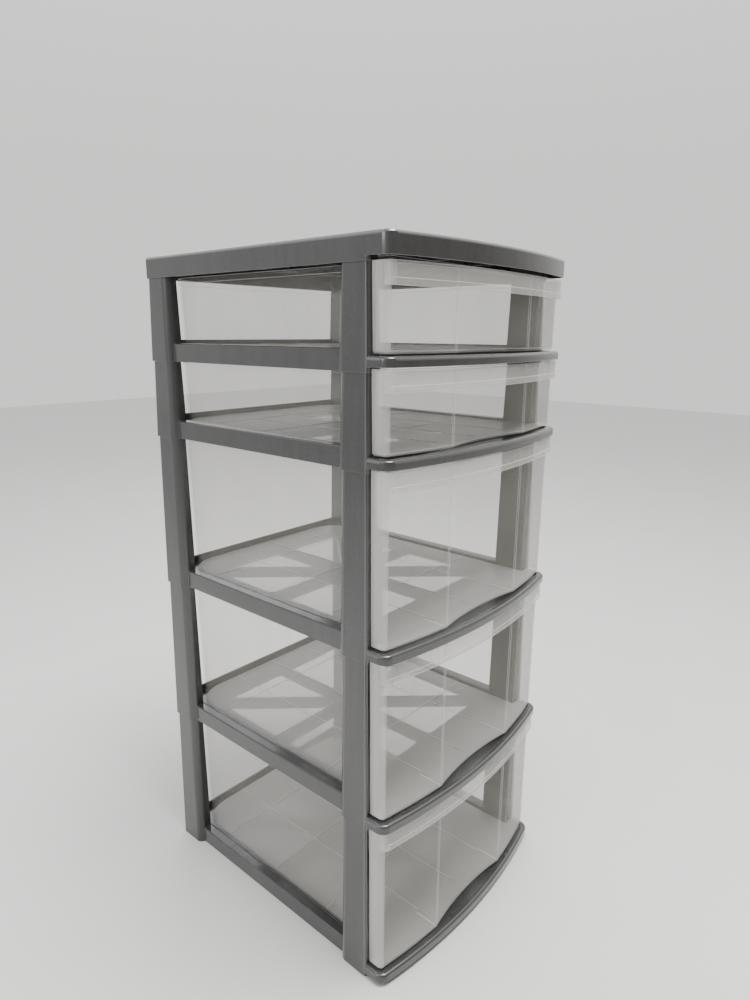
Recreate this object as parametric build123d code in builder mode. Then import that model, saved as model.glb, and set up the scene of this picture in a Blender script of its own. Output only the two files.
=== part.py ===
"""Five-drawer plastic storage tower: stacked tier frames, a top cover and bowed translucent drawers.

Every piece is one injection moulding. Millimetres, +Z up, drawers open towards -Y.
The origin is the middle of the footprint, on the floor.
"""
from build123d import *
import os
from math import atan, atan2, degrees, hypot, radians, sqrt, tan

# ---- overall ----
WIDTH = 314                    # across the posts
DEPTH = 380                    # rear posts to the middle of the bowed front
HEIGHT = 760
HALF_WIDTH = WIDTH / 2
REAR_Y = DEPTH / 2
LIP_APEX_Y = -DEPTH / 2
BOW_RADIUS = 694               # every front edge follows this bow
DEEP_PITCH = 185.5             # tier height with a deep drawer
SHALLOW_PITCH = 88.5           # tier height with a shallow drawer
TIER_PITCHES = [SHALLOW_PITCH, SHALLOW_PITCH, DEEP_PITCH, DEEP_PITCH, DEEP_PITCH]  # top to bottom

# ---- tier frame ----
WALL = 1.6                     # wall of posts, rails and cover
POST_WIDTH_X = 17
POST_WIDTH_Y = 40
POST_FRONT_Y = -149.5          # front face of the front posts
POST_REAR_Y = 150              # front face of the rear posts
POST_BAY_RADIUS = 10           # big round of each post towards the side window
POST_BAY_CUT = 5.8             # the same corner inside the hollow, cut off flat
POST_EDGE_CUT = 2              # flat along the other outer corner
POST_RIB = 1.6
POST_INSET = WALL + 0.2        # how far a post has drawn in at the next seam, to nest inside it
TENON_LENGTH = 14              # post top that stands inside the moulding above
RAIL_OUTER_X = 150.5           # outer face of the side rails
RAIL_INNER_X = 136.5           # inner face, which guides the drawer
RAIL_TOP = 20.5
RAIL_EDGE_CUT = 1.2            # flat along the outer top edge
RAIL_GROOVE = 0.8              # sight groove along the top, near the inner edge
RAIL_GROOVE_X = 139.5
RAIL_OVERLAP = 2               # how far rails and lip run into the walls they join
REAR_WALL_Y = 188.5            # outer face of the low wall that stops the drawer
REAR_WALL_TOP = 24
DECK_TOP = 15.5
DECK_BOTTOM = 5.5
DECK_SKIN = 2.2
DECK_WEB = 1.8                 # side walls of the straps
DECK_HALF_WIDTH = 141          # ends inside the walls of the posts
WINDOW_CORNER = 3              # flat across each corner of a window
SIDE_STRAP = 16                # width of the deck straps
REAR_STRAP_Y = 152
FRONT_STRAP_Y = -108
CROSS_STRAP = 13               # width of the straps that cross in the middle
LIP_BOTTOM = 5
LIP_TOP = 14.5
LIP_CORNER = 12
LIP_RIM = 8                    # width of the rim in front of the dished top
LIP_DISH = 3
LIP_NOSE = 2.4                 # flat along the outer edge
LIP_WALL = 2
LIP_SIDE_WALL = 4              # wall round the hollow, thick enough for the round corners

# ---- top cover ----
SKIRT_BOTTOM = 736.7           # lower edge of the side and rear skirts
FASCIA_BOTTOM = 740.5          # lower edge of the bowed front
COVER_EDGE = 2.4               # flat round the top
COVER_SKIN = 2.4
COVER_REAR_CORNER = 4
SKIRT_RETURN_X = 150           # the skirt turns this far in round the front posts
SOCKET_BOTTOM = 742
COVER_RIB_BOTTOM = 751
COVER_RIB_X = [-70, 0, 70]
COVER_RIB_Y = [-100, 10, 120]
JOIN = 0.2                     # how far inner ribs and sockets run into the walls

# ---- drawers ----
DRAWER_FLOOR = 16              # underside of a drawer above the base of its tier
DRAWER_RISE = 3.5              # top of a drawer above the base of the next tier
DRAWER_WALL = 2
FRONT_HALF_WIDTH = 153
FRONT_APEX_Y = -182.5          # bow of the front, before the grip recess
FRONT_BACK_Y = -150.3          # back of the front box, just ahead of the posts
FRONT_CORNER = 3.5             # flat down the corners
CREASE_X = 67                  # the recess lies between two creases
RECESS_DEPTH = 6               # behind the line of the creases
FRONT_DRAFT = 1.4              # how far its sides draw in from top to bottom
FRONT_FOOT_CUT = 2             # flat round the foot of the front
BAND_PROUD = 5                 # grip band ahead of the front
BAND_HEIGHT = 20
BAND_BACK_Y = -164
BAND_CORNER = 5
BEAD_HEIGHT = 6
BEAD_PROUD = 0.8
BIN_HALF_WIDTH = 134.5         # at the floor
BIN_REAR_Y = 181.5             # at the floor
BIN_DRAFT = 1.15               # degrees
BIN_FRONT_Y = -166             # hidden inside the front box
BIN_REAR_CORNER = 40
RIM_HEIGHT = 6
RIM_PROUD = 1
FLOOR_RIB_X = [-63, 0, 63]
FLOOR_RIB_Y = [-66, 26, 118]
FLOOR_RIB_WIDTH = 1.6
FLOOR_RIB_HEIGHT = 1
FLOOR_RIB_FRONT_Y = -160

# ---- derived ----
POST_X = HALF_WIDTH - POST_WIDTH_X / 2
POST_MIDDLES_Y = [POST_FRONT_Y + POST_WIDTH_Y / 2, POST_REAR_Y + POST_WIDTH_Y / 2]
POST_SYMMETRY_Y = sum(POST_MIDDLES_Y) / 2
POST_SPACING = POST_MIDDLES_Y[1] - POST_MIDDLES_Y[0]
BAY_FRONT_Y = POST_FRONT_Y + POST_WIDTH_Y
COVER_BASE = sum(TIER_PITCHES)

os.makedirs("parts", exist_ok=True)


def bow_y(apex_y, x):
    """Y of a bowed front edge at x, for the bow whose foremost point is apex_y."""
    return apex_y + BOW_RADIUS - sqrt(BOW_RADIUS**2 - x**2)


def bowed_outline(half_width, apex_y, back_y, front_corner=0):
    """Plan with straight sides and back, a bowed front and front corners that may be rounded."""
    side_y = bow_y(apex_y, half_width)
    with BuildSketch() as plan:
        with BuildLine():
            ThreePointArc((-half_width, side_y), (0, apex_y), (half_width, side_y))
            Polyline((half_width, side_y), (half_width, back_y), (-half_width, back_y), (-half_width, side_y))
        make_face()
        if front_corner:
            fillet(vertices().group_by(Axis.Y)[0], front_corner)
    return plan.sketch


# ---- tier frame ----
def post_plan(inset):
    """Plan of the four posts at the foot of a tier, drawn in by inset, with square corners."""
    with BuildSketch() as plan:
        with Locations([(x, y) for x in (-POST_X, POST_X) for y in POST_MIDDLES_Y]):
            Rectangle(POST_WIDTH_X - 2 * inset, POST_WIDTH_Y - 2 * inset)
    return plan.sketch


def at_bay(edge):
    """Whether a post's edge is on the side of the window between the posts."""
    return abs(edge.center().Y - POST_SYMMETRY_Y) < POST_SPACING / 2


def outer_edges(all_edges, height):
    """The long edges of the posts that face outwards, away from the drawer."""
    long_edges = all_edges.filter_by(lambda edge: edge.length > height - 1)
    return long_edges.filter_by(lambda edge: abs(edge.center().X) > POST_X)


def posts(base, height, taper):
    """Four posts that draw in upwards, each with a big round towards the side window."""
    with BuildPart() as columns:
        with BuildSketch(Plane.XY.offset(base)):
            add(post_plan(0))
        extrude(amount=height, taper=taper)
        fillet(outer_edges(edges(), height).filter_by(at_bay), POST_BAY_RADIUS)
        away_from_bay = outer_edges(edges(), height).filter_by(at_bay, reverse=True)
        chamfer(away_from_bay, POST_EDGE_CUT)
    return columns.part


def post_hollows(base, height, taper):
    """The space inside the four posts, open at the foot."""
    with BuildPart() as hollows:
        with BuildSketch(Plane.XY.offset(base)):
            add(post_plan(WALL))
        extrude(amount=height, taper=taper)
        chamfer(outer_edges(edges(), height).filter_by(at_bay), POST_BAY_CUT)
    return hollows.part


def post_ribs(bottom, top, taper):
    """A rib across each hollow post, whose lower edge is the seat of the post top below."""
    with BuildPart() as ribs:
        with BuildSketch(*[Plane.XZ.offset(-y) for y in POST_MIDDLES_Y]):
            with Locations((-POST_X, (bottom + top) / 2), (POST_X, (bottom + top) / 2)):
                Trapezoid(POST_WIDTH_X - WALL, top - bottom, 90 - taper)
        extrude(amount=POST_RIB / 2, both=True)
    return ribs.part


def lip(base):
    """Bowed shelf ahead of the posts: a rim round a dished top, hollow from below."""
    back_y = POST_FRONT_Y + WALL - JOIN
    with BuildPart() as shelf:
        with BuildSketch(Plane.XY.offset(base + LIP_BOTTOM)):
            add(bowed_outline(HALF_WIDTH, LIP_APEX_Y, back_y, LIP_CORNER))
        extrude(amount=LIP_TOP - LIP_BOTTOM)
        top_edges = edges().group_by(Axis.Z)[-1]
        chamfer(top_edges.filter_by(lambda edge: edge.center().Y < back_y - 1), LIP_NOSE)
        with BuildSketch(Plane.XY.offset(base + LIP_TOP - LIP_DISH)):
            add(bowed_outline(HALF_WIDTH - LIP_RIM, LIP_APEX_Y + LIP_RIM, POST_FRONT_Y))
        extrude(amount=LIP_DISH, mode=Mode.SUBTRACT)
        with BuildSketch(Plane.XY.offset(base + LIP_BOTTOM)):
            add(bowed_outline(HALF_WIDTH - LIP_SIDE_WALL, LIP_APEX_Y + LIP_SIDE_WALL, back_y - LIP_WALL))
        extrude(amount=LIP_TOP - LIP_DISH - LIP_WALL - LIP_BOTTOM, mode=Mode.SUBTRACT)
    return shelf.part


def side_rails(base):
    """Channel-shaped rails between the posts, open below, with a sight groove along the top."""
    with BuildPart() as rails:
        with BuildSketch(Plane.XZ.offset(-(BAY_FRONT_Y - RAIL_OVERLAP))):
            with Locations((RAIL_INNER_X, base)):
                Rectangle(RAIL_OUTER_X - RAIL_INNER_X, RAIL_TOP, align=Align.MIN)
            chamfer(vertices().group_by(Axis.Y)[-1].sort_by(Axis.X)[-1], RAIL_EDGE_CUT)
            with Locations((RAIL_INNER_X + WALL, base)):
                Rectangle(RAIL_OUTER_X - RAIL_INNER_X - 2 * WALL, RAIL_TOP - WALL, align=Align.MIN,
                          mode=Mode.SUBTRACT)
            with Locations((RAIL_INNER_X, base)):
                Rectangle(WALL, DECK_BOTTOM, align=Align.MIN, mode=Mode.SUBTRACT)
            with Locations((RAIL_GROOVE_X, base + RAIL_TOP)):
                Rectangle(RAIL_GROOVE, 2 * RAIL_GROOVE, mode=Mode.SUBTRACT)
            mirror(about=Plane.YZ)
        extrude(amount=-(POST_REAR_Y - BAY_FRONT_Y + 2 * RAIL_OVERLAP))
    return rails.part


def deck_windows(web=0):
    """Windows between the border, centre, cross and diagonal straps, grown by web for the hollows."""
    width = 2 * (RAIL_INNER_X - SIDE_STRAP)
    depth = REAR_STRAP_Y - FRONT_STRAP_Y
    slope = degrees(atan2(depth, width))
    strap = CROSS_STRAP - 2 * web
    with BuildSketch() as plan:
        with Locations((0, (REAR_STRAP_Y + FRONT_STRAP_Y) / 2)):
            Rectangle(width + 2 * web, depth + 2 * web)
            Rectangle(strap, depth + 2 * web, mode=Mode.SUBTRACT)
            Rectangle(width + 2 * web, strap, mode=Mode.SUBTRACT)
            for turn in (slope, -slope):
                Rectangle(hypot(width, depth) + 2 * SIDE_STRAP, strap, rotation=turn, mode=Mode.SUBTRACT)
        if not web:
            chamfer(vertices(), WINDOW_CORNER)
    return plan.sketch


def deck(base):
    """Strapped deck under the drawer, each strap an upturned channel, with the low wall behind it."""
    rear_y = REAR_WALL_Y - LIP_WALL
    middle_y = (POST_FRONT_Y + rear_y) / 2
    with BuildPart() as lattice:
        with BuildSketch(Plane.XY.offset(base + DECK_BOTTOM)):
            with Locations((0, middle_y)):
                Rectangle(2 * DECK_HALF_WIDTH, rear_y - POST_FRONT_Y)
            add(deck_windows(), mode=Mode.SUBTRACT)
        extrude(amount=DECK_TOP - DECK_BOTTOM)
        with BuildSketch(Plane.XY.offset(base + DECK_BOTTOM)):
            with Locations((0, middle_y)):
                Rectangle(2 * RAIL_INNER_X, rear_y - POST_FRONT_Y - 2 * DECK_WEB)
            add(deck_windows(DECK_WEB), mode=Mode.SUBTRACT)
        extrude(amount=DECK_TOP - DECK_SKIN - DECK_BOTTOM, mode=Mode.SUBTRACT)
        with BuildSketch(Plane.XY.offset(base)):
            with Locations((0, REAR_WALL_Y - LIP_WALL / 2)):
                Rectangle(2 * DECK_HALF_WIDTH, LIP_WALL)
        extrude(amount=REAR_WALL_TOP)
    return lattice.part


def tier_frame(base, pitch):
    """One tier, whose tapered post tops stand inside the posts of the moulding above."""
    taper = degrees(atan(POST_INSET / pitch))
    post_height = pitch + TENON_LENGTH
    with BuildPart() as tier:
        add(lip(base))
        add(posts(base, post_height, taper))
        add(side_rails(base))
        add(deck(base))
        add(post_hollows(base, post_height - WALL, taper), mode=Mode.SUBTRACT)
        add(post_ribs(base + TENON_LENGTH, base + post_height - WALL, taper))
    return tier.part


# ---- top cover ----
def cover_plan(inset, front_corner):
    """Plan of the cover, over the whole footprint, with square rear corners."""
    return bowed_outline(HALF_WIDTH - inset, LIP_APEX_Y + inset, REAR_Y - inset, front_corner)


def skirt_plan(inset):
    """Plan of the lower skirt round the four posts, with square corners."""
    with BuildSketch() as plan:
        with Locations((0, POST_SYMMETRY_Y)):
            Rectangle(WIDTH - 2 * inset, REAR_Y - POST_FRONT_Y - 2 * inset)
    return plan.sketch


def top_cover():
    """Shallow lid with a bowed fascia, a lower skirt, post sockets and stiffening ribs."""
    skin_bottom = HEIGHT - COVER_SKIN
    with BuildPart() as cover:
        with BuildSketch(Plane.XY.offset(FASCIA_BOTTOM)):
            add(cover_plan(0, LIP_CORNER))
        extrude(amount=HEIGHT - FASCIA_BOTTOM)
        fillet(edges().filter_by(Axis.Z).group_by(Axis.Y)[-1], COVER_REAR_CORNER)
        chamfer(edges().group_by(Axis.Z)[-1], COVER_EDGE)
        with BuildSketch(Plane.XY.offset(SKIRT_BOTTOM)):
            add(skirt_plan(0))
            fillet(vertices(), COVER_REAR_CORNER)
        extrude(amount=FASCIA_BOTTOM - SKIRT_BOTTOM)
        with BuildSketch(Plane.XY.offset(FASCIA_BOTTOM)):
            add(cover_plan(WALL, LIP_CORNER - WALL))
        extrude(amount=skin_bottom - FASCIA_BOTTOM, mode=Mode.SUBTRACT)
        with BuildSketch(Plane.XY.offset(SKIRT_BOTTOM)):
            add(skirt_plan(WALL))
            with Locations((0, POST_FRONT_Y)):
                Rectangle(2 * SKIRT_RETURN_X, POST_WIDTH_X)
        extrude(amount=FASCIA_BOTTOM - SKIRT_BOTTOM, mode=Mode.SUBTRACT)
        with BuildSketch(Plane.XY.offset(SOCKET_BOTTOM)):
            add(post_plan(0))
            add(cover_plan(WALL - JOIN, LIP_CORNER - WALL), mode=Mode.INTERSECT)
            add(post_plan(WALL), mode=Mode.SUBTRACT)
        extrude(amount=skin_bottom + JOIN - SOCKET_BOTTOM)
        with BuildSketch(Plane.XY.offset(COVER_BASE + TENON_LENGTH)):
            with Locations([(x, y) for x in (-POST_X, POST_X) for y in POST_MIDDLES_Y]):
                Rectangle(POST_WIDTH_X - WALL, POST_RIB)
        extrude(amount=skin_bottom + JOIN - COVER_BASE - TENON_LENGTH)
        with BuildSketch(Plane.XY.offset(COVER_RIB_BOTTOM)):
            with Locations([(x, 0) for x in COVER_RIB_X]):
                Rectangle(WALL, DEPTH)
            with Locations([(0, y) for y in COVER_RIB_Y]):
                Rectangle(WIDTH, WALL)
            add(cover_plan(WALL - JOIN, LIP_CORNER - WALL), mode=Mode.INTERSECT)
        extrude(amount=skin_bottom + JOIN - COVER_RIB_BOTTOM)
    return cover.part


# ---- drawer ----
def front_outline(inset):
    """Plan of a drawer front: two bowed thirds beside a concave grip recess."""
    half_width = FRONT_HALF_WIDTH - inset
    apex_y = FRONT_APEX_Y + inset
    back_y = FRONT_BACK_Y - inset
    side_y = bow_y(apex_y, half_width)
    crease_y = bow_y(apex_y, CREASE_X)
    middle_x = (half_width + CREASE_X) / 2
    middle_y = bow_y(apex_y, middle_x)
    with BuildSketch() as plan:
        with BuildLine():
            ThreePointArc((-half_width, side_y), (-middle_x, middle_y), (-CREASE_X, crease_y))
            ThreePointArc((-CREASE_X, crease_y), (0, crease_y + RECESS_DEPTH), (CREASE_X, crease_y))
            ThreePointArc((CREASE_X, crease_y), (middle_x, middle_y), (half_width, side_y))
            Polyline((half_width, side_y), (half_width, back_y), (-half_width, back_y), (-half_width, side_y))
        make_face()
    return plan.sketch


def slanted_slab(top_half_width, slope, bottom, top):
    """Slab over the whole depth whose two sides draw in towards its foot."""
    foot_half_width = top_half_width - slope * (top - bottom)
    with BuildPart() as slab:
        with BuildSketch(Plane.XZ):
            with BuildLine():
                Polyline((-foot_half_width, bottom), (foot_half_width, bottom),
                         (top_half_width, top), (-top_half_width, top), close=True)
            make_face()
        extrude(amount=DEPTH, both=True)
    return slab.part


def front_block(inset, slope, bottom, top):
    """Block of the drawer front, whose sides draw in towards its foot."""
    with BuildPart() as block:
        with BuildSketch(Plane.XY.offset(bottom)):
            add(front_outline(inset))
        extrude(amount=top - bottom)
        add(slanted_slab(FRONT_HALF_WIDTH - inset, slope, bottom, top), mode=Mode.INTERSECT)
    return block.part


def drawer_front(slope, bottom, top):
    """Outside of the drawer front, with its corners and foot cut off flat."""
    with BuildPart() as front:
        add(front_block(0, slope, bottom, top))
        upright = edges().filter_by(lambda edge: edge.bounding_box().size.Z > top - bottom - 1)
        chamfer(upright.group_by(Axis.Y)[-2], FRONT_CORNER)
        foot_edges = edges().group_by(Axis.Z)[0]
        chamfer(foot_edges.filter_by(lambda edge: edge.center().Y < FRONT_BACK_Y - 1), FRONT_FOOT_CUT)
    return front.part


def bin_block(inset, bottom, top):
    """Block of the bin, spreading upwards, with broad rounds up the rear corners."""
    slope = tan(radians(BIN_DRAFT))
    spread = slope * (top - bottom)
    rear_y = BIN_REAR_Y - inset
    with BuildPart() as block:
        with BuildSketch(Plane.YZ):
            with BuildLine():
                Polyline((BIN_FRONT_Y, bottom), (rear_y, bottom), (rear_y + spread, top),
                         (BIN_FRONT_Y, top), close=True)
            make_face()
        extrude(amount=WIDTH, both=True)
        add(slanted_slab(BIN_HALF_WIDTH - inset + spread, slope, bottom, top), mode=Mode.INTERSECT)
        upright = edges().filter_by(lambda edge: edge.bounding_box().size.Z > top - bottom - 1)
        fillet(upright.group_by(Axis.Y)[-1], BIN_REAR_CORNER - inset)
    return block.part


def bin_rim(spread, top):
    """Band round the top of the bin, outside its wall."""
    half_width = BIN_HALF_WIDTH + spread + RIM_PROUD
    rear_y = BIN_REAR_Y + spread + RIM_PROUD
    with BuildPart() as rim:
        with BuildSketch(Plane.XY.offset(top - RIM_HEIGHT)):
            with Locations((0, (BIN_FRONT_Y + rear_y) / 2)):
                Rectangle(2 * half_width, rear_y - BIN_FRONT_Y)
            fillet(vertices().group_by(Axis.Y)[-1], BIN_REAR_CORNER)
        extrude(amount=RIM_HEIGHT)
    return rim.part


def grip_band(top):
    """Bowed band with a bead along its lower edge, open below as a finger pull."""
    apex_y = FRONT_APEX_Y - BAND_PROUD
    with BuildPart() as band:
        with BuildSketch(Plane.XY.offset(top - BAND_HEIGHT)):
            add(bowed_outline(FRONT_HALF_WIDTH, apex_y, BAND_BACK_Y, BAND_CORNER))
        extrude(amount=BAND_HEIGHT)
        with BuildSketch(Plane.XY.offset(top - BAND_HEIGHT)):
            add(bowed_outline(FRONT_HALF_WIDTH, apex_y - BEAD_PROUD, BAND_BACK_Y, BAND_CORNER))
        extrude(amount=BEAD_HEIGHT)
        with BuildSketch(Plane.XY.offset(top - BAND_HEIGHT)):
            add(bowed_outline(FRONT_HALF_WIDTH - DRAWER_WALL, apex_y + DRAWER_WALL, BAND_BACK_Y))
        extrude(amount=BAND_HEIGHT - DRAWER_WALL, mode=Mode.SUBTRACT)
    return band.part


def drawer(base, pitch):
    """One-piece drawer: recessed front with its grip band, and the drafted bin behind it."""
    bottom = base + DRAWER_FLOOR
    top = base + pitch + DRAWER_RISE
    inner_floor = bottom + DRAWER_WALL
    slope = FRONT_DRAFT / (top - bottom)
    spread = (top - bottom) * tan(radians(BIN_DRAFT))
    rib_end_x = BIN_HALF_WIDTH - DRAWER_WALL - FLOOR_RIB_HEIGHT
    rib_end_y = BIN_REAR_Y - DRAWER_WALL - FLOOR_RIB_HEIGHT
    with BuildPart() as tub:
        add(grip_band(top))
        add(drawer_front(slope, bottom, top))
        add(bin_block(0, bottom, top))
        add(bin_rim(spread, top))
        add(front_block(DRAWER_WALL, slope, inner_floor, top), mode=Mode.SUBTRACT)
        add(bin_block(DRAWER_WALL, inner_floor, top), mode=Mode.SUBTRACT)
        with BuildSketch(Plane.XY.offset(inner_floor - JOIN)):
            with Locations([(x, (FLOOR_RIB_FRONT_Y + rib_end_y) / 2) for x in FLOOR_RIB_X]):
                Rectangle(FLOOR_RIB_WIDTH, rib_end_y - FLOOR_RIB_FRONT_Y)
            with Locations([(0, y) for y in FLOOR_RIB_Y]):
                Rectangle(2 * rib_end_x, FLOOR_RIB_WIDTH)
        extrude(amount=FLOOR_RIB_HEIGHT + JOIN)
    return tub.part


def write(piece, name):
    """Label a finished moulding and write it."""
    piece.label = name
    export_step(piece, f"parts/{name}.step")


write(top_cover(), "top_cover")
tier_base = COVER_BASE
for number, pitch in enumerate(TIER_PITCHES, start=1):
    tier_base -= pitch
    write(tier_frame(tier_base, pitch), f"tier_frame_{number}")
    write(drawer(tier_base, pitch), f"drawer_{number}")
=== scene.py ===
"""Looks of a five-drawer plastic tower: dark silver-grey tier frames round frosted, see-through drawers.

Metres, in the frame's own axes: +Z up, drawers open towards -Y, the floor at z = 0.
"""
from math import cos, radians, sin

import bmesh
import bpy
from mathutils import Matrix, Vector


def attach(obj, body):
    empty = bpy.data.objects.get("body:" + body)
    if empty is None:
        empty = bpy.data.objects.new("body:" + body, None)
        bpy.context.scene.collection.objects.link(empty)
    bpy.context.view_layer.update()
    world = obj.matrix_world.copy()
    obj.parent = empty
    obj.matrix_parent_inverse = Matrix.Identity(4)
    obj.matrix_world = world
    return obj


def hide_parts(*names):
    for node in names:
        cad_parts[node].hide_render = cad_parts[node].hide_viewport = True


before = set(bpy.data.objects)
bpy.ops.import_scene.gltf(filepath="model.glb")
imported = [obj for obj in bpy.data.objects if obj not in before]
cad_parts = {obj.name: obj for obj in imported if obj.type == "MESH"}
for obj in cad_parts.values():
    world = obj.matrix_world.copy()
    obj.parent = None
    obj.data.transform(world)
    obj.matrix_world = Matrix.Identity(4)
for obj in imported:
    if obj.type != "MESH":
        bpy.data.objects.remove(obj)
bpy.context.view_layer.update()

MM = 0.001

# ---- camera, as it stood for the photograph ----
CAMERA_PLACE = (-0.5977, -0.5401, 0.6788)
CAMERA_YAW = 49.13             # degrees to the right of +Y
CAMERA_DROP = 13.88            # degrees below level
CAMERA_ROLL = -0.38
CAMERA_LENS = 24.39            # mm, on a frame as wide as the next value
CAMERA_FRAME = 36
NEAREST_SEEN = 0.02

# ---- mouldings ----
DRAWERS = [f"drawer_{number}" for number in range(1, 6)]
TIERS = [f"tier_frame_{number}" for number in range(1, 6)]
WELD = 0.01 * MM
FLAT_ANGLE = radians(0.3)      # faces closer than this are one face
CUT_ANGLES = (radians(33), radians(58))  # between a flat cut and the faces beside it
SOFT_EDGE = 1.2 * MM           # turns the cuts of the CAD pieces into rounds
NARROWEST_CUT = 2.6 * MM       # cuts narrower than this stay as they are
LEVEL_FACE = 0.95              # upward share of a face's normal from which it counts as level
FRAME_EDGE = 0.38 * MM         # rounds the sharp edges of the cover and the tiers
DRAWER_EDGE = 0.30 * MM        # and those of the drawers

# ---- places on a drawer, as built ----
EAR_X = 0.1465                 # the front's corners and returns, outside this, are frosted
FRONT_BACK_Y = -0.150          # back of the front, where the bin begins
BOW_CENTRE_Y = 0.5115          # centre of the front's bow
BOW_RADIUS = 0.694             # the grip band stands outside this
CREASE_X = 0.067               # the creases beside the grip recess
RIB_SPACING_X = 0.063          # the floor's ribs, from front to rear
RIB_SPACING_Y = 0.092          # and from side to side, on both sides of the middle one
RIB_MIDDLE_Y = 0.026
RIB_END_X = 0.100              # past the outermost rib of the first kind
BIN_INNER_X = 0.1308           # the inside of the bin ends here
BIN_INNER_REAR_Y = 0.1785
CREASE_HIGHLIGHT_HALF_WIDTH = 1.0 * MM         # half the width of the pale line painted on a crease as a highlight
RIB_HIGHLIGHT_HALF_WIDTH = 1.1 * MM            # and of that painted on a rib as a highlight

# ---- colours of the tier frames and the cover ----
GRAPHITE_DARK = (0.034, 0.0345, 0.035, 1)
GRAPHITE_LIGHT = (0.052, 0.0525, 0.053, 1)
SILVER_FLAKE = (0.19, 0.195, 0.20, 1)
# scuff wear, and the rounded edges painted lighter as a highlight
SCUFF_AND_HIGHLIGHT_GRAPHITE = (0.24, 0.24, 0.24, 1)

# ---- colours of the drawers ----
CLEAR_DARK = (0.42, 0.405, 0.36, 1)
CLEAR_LIGHT = (0.52, 0.505, 0.46, 1)
# the cloudy plastic of the ears and band, and the pale crease, rib and edge highlight painted with it
MILKY_AND_HIGHLIGHT_PLASTIC = (0.70, 0.695, 0.68, 1)

# ---- studio ----
FLOOR_DARK = (0.60, 0.597, 0.59, 1)
FLOOR_LIGHT = (0.64, 0.637, 0.63, 1)
FLOOR_SIZE = 6
WALL_LIGHT = (1.02, 1.01, 0.995, 1)
CEILING_LIGHT = (1.75, 1.75, 1.75, 1)
DIM_FRONT = (0.36, 0.335, 0.315, 1)  # the side that the drawers face is the darker one
LIGHTS = [                     # name, place, aim, size, watts, colour
    ("ceiling", (0.1, -0.5, 2.4), (0, 0, 0.4), 1.0, 95, (1.0, 0.99, 0.97)),
    ("side_fill", (-2.2, 0.2, 1.5), (0, 0, 0.5), 0.8, 14, (0.98, 0.99, 1.0)),
    ("rear_fill", (1.4, 1.9, 1.7), (0, 0, 0.4), 1.0, 6, (0.97, 0.985, 1.0)),
]


class Wire:
    """One socket of a material. Arithmetic on it adds Math nodes to the same tree."""

    def __init__(self, tree, socket=None):
        self.tree = tree
        self.socket = socket

    def add(self, kind, sockets=None, output=0, **settings):
        """A new node of that kind: its settings, then values or wires for its sockets."""
        node = self.tree.nodes.new(kind)
        for name, value in settings.items():
            setattr(node, name, value)
        for key, value in (sockets or {}).items():
            if isinstance(value, Wire):
                self.tree.links.new(value.socket, node.inputs[key])
            else:
                node.inputs[key].default_value = value
        return Wire(self.tree, node.outputs[output])

    def sum_up(self, operation, left, right):
        return self.add("ShaderNodeMath", {0: left, 1: right}, operation=operation)

    def __add__(self, other):
        return self.sum_up("ADD", self, other)

    def __radd__(self, other):
        return self.sum_up("ADD", other, self)

    def __sub__(self, other):
        return self.sum_up("SUBTRACT", self, other)

    def __rsub__(self, other):
        return self.sum_up("SUBTRACT", other, self)

    def __mul__(self, other):
        return self.sum_up("MULTIPLY", self, other)

    def __rmul__(self, other):
        return self.sum_up("MULTIPLY", other, self)

    def noise(self, place, scale, detail=2.0, roughness=0.5):
        """Noise of that scale per metre, from 0 to 1."""
        return self.add("ShaderNodeTexNoise", {"Vector": place, "Scale": scale, "Detail": detail,
                                               "Roughness": roughness})

    def stretched(self, place, stretch):
        """The place with each axis multiplied, for streaks."""
        return self.add("ShaderNodeMapping", {"Vector": place, "Scale": stretch})

    def ramp(self, low, high):
        """This value as a smooth step from 0 at low to 1 at high."""
        return self.add("ShaderNodeMapRange", {"Value": self, "From Min": low, "From Max": high},
                        interpolation_type="SMOOTHSTEP")

    def size(self):
        """This value without its sign."""
        return self.sum_up("ABSOLUTE", self, 0.0)

    def wave(self, spacing):
        """How far this value is from the nearest multiple of spacing."""
        return self.sum_up("PINGPONG", self, spacing / 2)

    def line(self, half_width):
        """1 where this distance is near 0, fading to 0 at half_width."""
        return 1 - self.ramp(half_width * 0.4, half_width)

    def part(self, vector, number):
        """X, Y or Z of a vector, by its number."""
        return self.add("ShaderNodeSeparateXYZ", {0: vector}, output=number)

    def attribute(self, name):
        """A number stored on the mesh."""
        return self.add("ShaderNodeAttribute", output=2, attribute_name=name)

    def mixed(self, colour_a, colour_b):
        """Colour a where this value is 0, colour b where it is 1."""
        return self.add("ShaderNodeMix", {"Factor": self, 6: colour_a, 7: colour_b}, output=2,
                        data_type="RGBA")


def new_material(name):
    """A bare node material: its tree as a wire, its Principled shader and the object's own place."""
    material = bpy.data.materials.new(name)
    material.use_nodes = True
    tree = material.node_tree
    tree.nodes.clear()
    shader = tree.nodes.new("ShaderNodeBsdfPrincipled")
    output = tree.nodes.new("ShaderNodeOutputMaterial")
    tree.links.new(shader.outputs[0], output.inputs["Surface"])
    start = Wire(tree)
    place = start.add("ShaderNodeTexCoord", output=3)
    return material, start, shader, place


def feed(shader, **sockets):
    """Link wires to the shader's sockets, named with _ for a space."""
    for name, wire in sockets.items():
        wire.tree.links.new(wire.socket, shader.inputs[name.replace("_", " ")])


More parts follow.
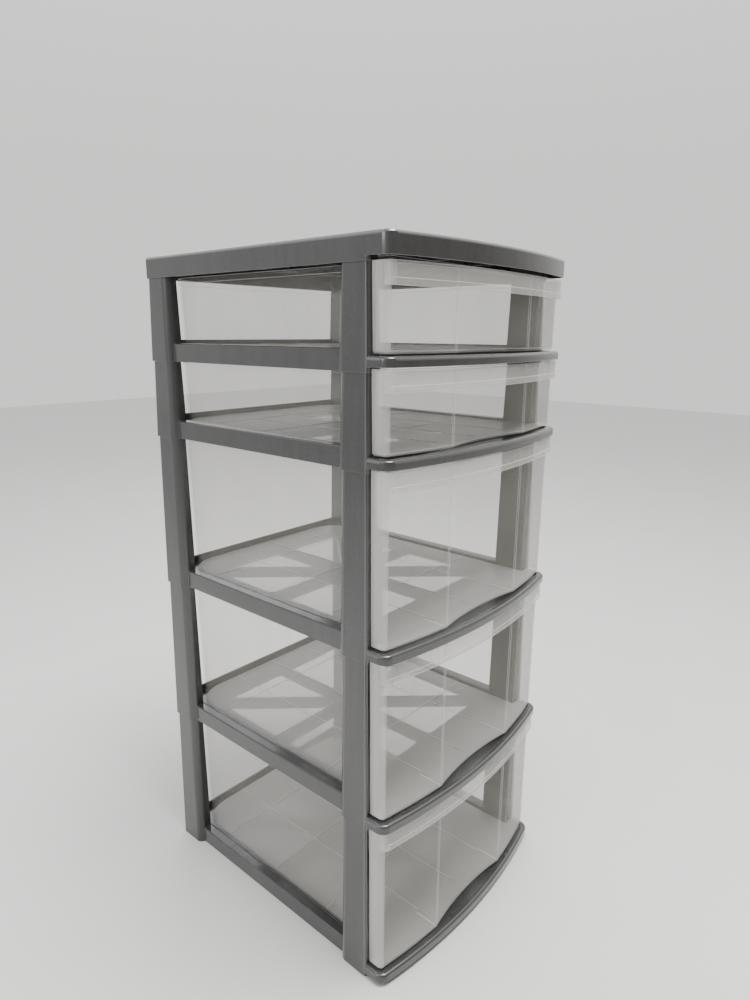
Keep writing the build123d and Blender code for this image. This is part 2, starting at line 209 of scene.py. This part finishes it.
def frame_plastic():
    """Graphite moulded plastic with a silver flake: flow streaks, scuffs, rounded edges painted lighter
    as a highlight, and a satin skin.
    """
    material, start, shader, place = new_material("frame_plastic")
    flake = start.noise(place, 2600, 1.0).ramp(0.52, 0.72)
    streaks = start.noise(start.stretched(place, (14, 14, 1.2)), 6, 3.0).ramp(0.25, 0.8)
    cloud = start.noise(place, 9, 2.0)
    scuff = start.noise(start.stretched(place, (1, 1, 7)), 60, 5.0, 0.7).ramp(0.70, 0.78)
    # faces of the rounded edges, painted lighter as a highlight
    edge = start.attribute("edge")
    body = (0.6 * streaks + 0.4 * cloud).mixed(GRAPHITE_DARK, GRAPHITE_LIGHT)
    flaked = (0.55 * flake).mixed(body, SILVER_FLAKE)
    # scuffs are real wear; the lighter rounded edges are a painted highlight
    feed(shader,
         Base_Color=(0.35 * scuff + 0.25 * edge).mixed(flaked, SCUFF_AND_HIGHLIGHT_GRAPHITE),
         Roughness=0.22 + 0.08 * cloud + 0.12 * scuff - 0.05 * flake,
         Metallic=0.30 + 0.25 * flake,
         Normal=start.add("ShaderNodeBump", {"Height": start.noise(place, 700, 2.0) + 2.0 * cloud,
                                             "Strength": 0.10, "Distance": 0.02 * MM}))
    shader.inputs["Specular IOR Level"].default_value = 0.5
    shader.inputs["Coat Weight"].default_value = 0.5
    shader.inputs["Coat Roughness"].default_value = 0.09
    return material


def drawer_masks(start, place):
    """Masks of a drawer: the cloudier front ears and grip band, and the crease lines and rib lines
    painted pale as a highlight.
    """
    side = start.part(place, 0).size()
    depth = start.part(place, 1)
    front = 1 - depth.ramp(FRONT_BACK_Y, FRONT_BACK_Y + 1 * MM)
    ears = side.ramp(EAR_X - 1 * MM, EAR_X + 1 * MM) * front
    plan = start.stretched(place, (1, 1, 0))
    from_centre = start.add("ShaderNodeVectorMath", {0: plan, 1: (0, BOW_CENTRE_Y, 0)}, output=1,
                            operation="DISTANCE")
    band = from_centre.ramp(BOW_RADIUS + 1.2 * MM, BOW_RADIUS + 2.2 * MM)
    # pale crease and rib lines: painted highlight
    crease_highlight = (side - CREASE_X).size().line(CREASE_HIGHLIGHT_HALF_WIDTH) * front * (1 - band)
    rib_highlight_along = side.wave(RIB_SPACING_X).line(RIB_HIGHLIGHT_HALF_WIDTH) * (1 - side.ramp(RIB_END_X, RIB_END_X + 10 * MM))
    rib_highlight_across = (depth - RIB_MIDDLE_Y).size().wave(RIB_SPACING_Y).line(RIB_HIGHLIGHT_HALF_WIDTH)
    beside = side.ramp(BIN_INNER_X, BIN_INNER_X + 0.6 * MM)
    behind = depth.ramp(BIN_INNER_REAR_Y - 1 * MM, BIN_INNER_REAR_Y)
    in_bin = (1 - beside) * (1 - front) * (1 - behind)
    rib_highlight = rib_highlight_along.sum_up("MAXIMUM", rib_highlight_along, rib_highlight_across) * in_bin
    return ears, band, crease_highlight, rib_highlight


def drawer_plastic():
    """Frosted, see-through natural plastic: clear walls, cloudy ears and band, and crease lines, rib
    lines and edges painted pale as a highlight.
    """
    material, start, shader, place = new_material("drawer_plastic")
    ears, band, crease_highlight, rib_highlight = drawer_masks(start, place)
    cloud = start.noise(place, 11, 3.0)
    flow = start.noise(start.stretched(place, (1, 1, 0.25)), 38, 3.0, 0.6)
    frost = start.noise(place, 1500, 2.0)
    scratch = start.noise(start.stretched(place, (9, 1.0, 1.4)), 42, 6.0, 0.75).ramp(0.70, 0.76)
    # faces of the rounded edges, painted paler as a highlight
    edge = start.attribute("edge")
    level = start.attribute("level")
    graze = start.add("ShaderNodeLayerWeight", {"Blend": 0.35}, output=1)
    # cloudy ears and band are the plastic's own; the crease, rib and edge terms are painted highlight
    frost_and_highlight = (0.26 * ears + 0.20 * band * (1 - ears) + 0.30 * crease_highlight + 0.22 * rib_highlight
             + 0.26 * edge * (1 - ears) + 0.24 * level)
    haze = (0.6 * cloud + 0.4 * flow).mixed(CLEAR_DARK, CLEAR_LIGHT)
    feed(shader,
         Base_Color=frost_and_highlight.ramp(0.05, 0.30).mixed(haze, MILKY_AND_HIGHLIGHT_PLASTIC),
         Roughness=0.22 + 0.10 * flow + 0.06 * frost + 0.2 * scratch + 0.25 * ears,
         Alpha=0.050 + 0.05 * cloud + 0.04 * flow + 0.12 * scratch + 0.06 * graze + frost_and_highlight,
         Normal=start.add("ShaderNodeBump", {"Height": 0.2 * frost + 6.0 * flow, "Strength": 0.10,
                                             "Distance": 0.03 * MM}))
    shader.inputs["Specular IOR Level"].default_value = 0.5
    return material


def floor_paint():
    """Pale matt studio floor."""
    material, start, shader, place = new_material("floor_paint")
    speck = start.noise(place, 6, 3.0)
    feed(shader,
         Base_Color=speck.mixed(FLOOR_DARK, FLOOR_LIGHT),
         Roughness=0.55 + 0.1 * speck)
    return material


def cut_width(edge):
    """Width of the narrower face beside an edge."""
    return min(face.calc_area() for face in edge.link_faces) / edge.calc_length()


def round_off(shape, edges, radius, segments, mark):
    """Round these edges of a bmesh and mark the faces that the rounds are made of."""
    result = bmesh.ops.bevel(shape, geom=edges, offset=radius, offset_type="OFFSET", segments=segments,
                             profile=0.5, affect="EDGES", clamp_overlap=False)
    for face in result["faces"]:
        face[mark] = 1.0


def clean_shape(node):
    """A node's mesh, welded, with flat faces made whole and then triangles, and its wide cuts marked."""
    shape = bmesh.new()
    shape.from_mesh(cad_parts[node].data)
    bmesh.ops.remove_doubles(shape, verts=shape.verts, dist=WELD)
    bmesh.ops.dissolve_limit(shape, angle_limit=FLAT_ANGLE, verts=shape.verts, edges=shape.edges)
    wide_cut = shape.edges.layers.int.new("wide_cut")
    low, high = CUT_ANGLES
    for edge in shape.edges:
        if low < edge.calc_face_angle(0) < high and cut_width(edge) > NARROWEST_CUT:
            edge[wide_cut] = 1
    bmesh.ops.triangulate(shape, faces=shape.faces, ngon_method="BEAUTY")
    return shape, wide_cut


def finished_copy(node, edge_radius, material, body):
    """A merged copy of a moulding with its cuts and edges rounded, standing for the moulding itself."""
    shape, wide_cut = clean_shape(node)
    low_corner = [min(vertex.co[axis] for vertex in shape.verts) for axis in range(3)]
    high_corner = [max(vertex.co[axis] for vertex in shape.verts) for axis in range(3)]
    # the materials paint these rounded faces paler, as a highlight
    mark = shape.faces.layers.float.new("edge")
    round_off(shape, [edge for edge in shape.edges if edge[wide_cut]], SOFT_EDGE, 3, mark)
    round_off(shape, [edge for edge in shape.edges if edge.calc_face_angle(0) > CUT_ANGLES[1]],
              edge_radius, 2, mark)
    for vertex in shape.verts:
        for axis in range(3):
            vertex.co[axis] = min(max(vertex.co[axis], low_corner[axis]), high_corner[axis])
    level = shape.faces.layers.float.new("level")
    for face in shape.faces:
        face.smooth = True
        face.material_index = 0
        face.normal_update()
        face[level] = float(abs(face.normal.z) > LEVEL_FACE and face[mark] == 0)
    mesh = bpy.data.meshes.new(f"{node}_finished")
    shape.to_mesh(mesh)
    shape.free()
    piece = bpy.data.objects.new(f"{node}_finished", mesh)
    bpy.context.scene.collection.objects.link(piece)
    mesh.materials.append(material)
    piece.modifiers.new("even_shading", "WEIGHTED_NORMAL")
    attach(piece, body)
    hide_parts(node)
    return piece


def place_camera():
    """The photograph's camera."""
    yaw, drop, roll = radians(CAMERA_YAW), radians(CAMERA_DROP), radians(CAMERA_ROLL)
    ahead = Vector((sin(yaw) * cos(drop), cos(yaw) * cos(drop), -sin(drop)))
    level = Vector((cos(yaw), -sin(yaw), 0))
    down = ahead.cross(level)
    right = level * cos(roll) + down * sin(roll)
    up = level * sin(roll) - down * cos(roll)
    turn = Matrix((right, up, -ahead)).transposed().to_4x4()
    data = bpy.data.cameras.new("photo_camera")
    data.lens = CAMERA_LENS
    data.sensor_width = CAMERA_FRAME
    data.clip_start = NEAREST_SEEN
    camera = bpy.data.objects.new("photo_camera", data)
    camera.matrix_world = Matrix.Translation(CAMERA_PLACE) @ turn
    bpy.context.scene.collection.objects.link(camera)
    bpy.context.scene.camera = camera


def soft_light(name, place, aim, size, power, colour):
    """A square studio light at place, facing aim."""
    data = bpy.data.lights.new(name, "AREA")
    data.shape = "SQUARE"
    data.size = size
    data.energy = power
    data.color = colour
    light = bpy.data.objects.new(name, data)
    light.location = place
    light.rotation_euler = (Vector(aim) - Vector(place)).to_track_quat("-Z", "Y").to_euler()
    bpy.context.scene.collection.objects.link(light)


def studio():
    """Pale floor, surroundings that are darker in front, and the soft lights."""
    shape = bmesh.new()
    bmesh.ops.create_grid(shape, x_segments=1, y_segments=1, size=FLOOR_SIZE)
    mesh = bpy.data.meshes.new("studio_floor")
    shape.to_mesh(mesh)
    shape.free()
    mesh.materials.append(floor_paint())
    ground = bpy.data.objects.new("studio_floor", mesh)
    bpy.context.scene.collection.objects.link(ground)
    world = bpy.data.worlds.new("studio")
    world.use_nodes = True
    start = Wire(world.node_tree)
    toward = start.add("ShaderNodeTexCoord", output=0)
    bright = start.part(toward, 2).ramp(0.15, 0.95).mixed(WALL_LIGHT, CEILING_LIGHT)
    sky = start.part(toward, 1).ramp(-0.75, 0.05).mixed(DIM_FRONT, bright)
    background = world.node_tree.nodes["Background"]
    world.node_tree.links.new(sky.socket, background.inputs["Color"])
    background.inputs["Strength"].default_value = 1.0
    bpy.context.scene.world = world
    for light in LIGHTS:
        soft_light(*light)


grey = frame_plastic()
frosted = drawer_plastic()
finished_copy("top_cover", FRAME_EDGE, grey, "frame")
for tier in TIERS:
    finished_copy(tier, FRAME_EDGE, grey, "frame")
for drawer in DRAWERS:
    finished_copy(drawer, DRAWER_EDGE, frosted, f"{drawer}_body")
place_camera()
studio()
